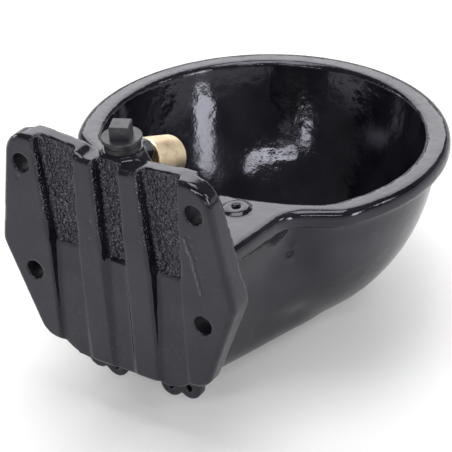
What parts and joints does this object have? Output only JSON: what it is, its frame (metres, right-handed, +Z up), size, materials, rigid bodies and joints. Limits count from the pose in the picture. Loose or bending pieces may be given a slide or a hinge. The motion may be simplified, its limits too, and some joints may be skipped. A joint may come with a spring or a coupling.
{
  "type": "livestock drinking bowl",
  "caption": "Wall-mounted cast-iron drinking bowl for livestock, with a grooved back plate, a side-tilting brass tube valve, a plugged water duct and a round bowl",
  "frame": {"origin": "centre of the four bolt holes, in the plane of the wall face", "axes": "+Y out of the wall face into the wall, -Y towards the bowl's front, +Z up, X across"},
  "size_m": [0.27, 0.3179, 0.2257],
  "materials": {
    "enamel": "black gloss enamel on cast iron",
    "black_plastic": "moulded, slightly glossy",
    "black_rubber": "plain",
    "brass": "turned, satin",
    "steel": "stainless, bright"
  },
  "bodies": {
    "fixed": {"bowl_casting": "enamel", "top_plug": "black_plastic", "top_plug_gasket": "black_rubber", "valve_body": "brass", "valve_body_gasket": "black_rubber", "spring_retainer": "steel", "return_spring": "steel"},
    "tilt_frame": {"spring_cup": "brass"},
    "tube": {"valve_stem": "steel", "seal_disc": "black_rubber", "drinking_tube": "brass", "tube_spider": "brass", "lock_washer": "steel", "lock_nut": "steel"}
  },
  "joints": [
    {"name": "tube_up_down", "type": "hinge", "parent": "fixed", "child": "tilt_frame", "pos_m": [0, -0.04051, 0.04313], "axis": [1, 0, 0], "range_deg": [-6, 6], "stiffness_Nm_per_rad": 0.6},
    {"name": "tube_sideways", "type": "hinge", "parent": "tilt_frame", "child": "tube", "pos_m": [0, -0.04051, 0.04313], "axis": [0, 0.4099, -0.9121], "range_deg": [-6, 6], "stiffness_Nm_per_rad": 0.6}
  ]
}
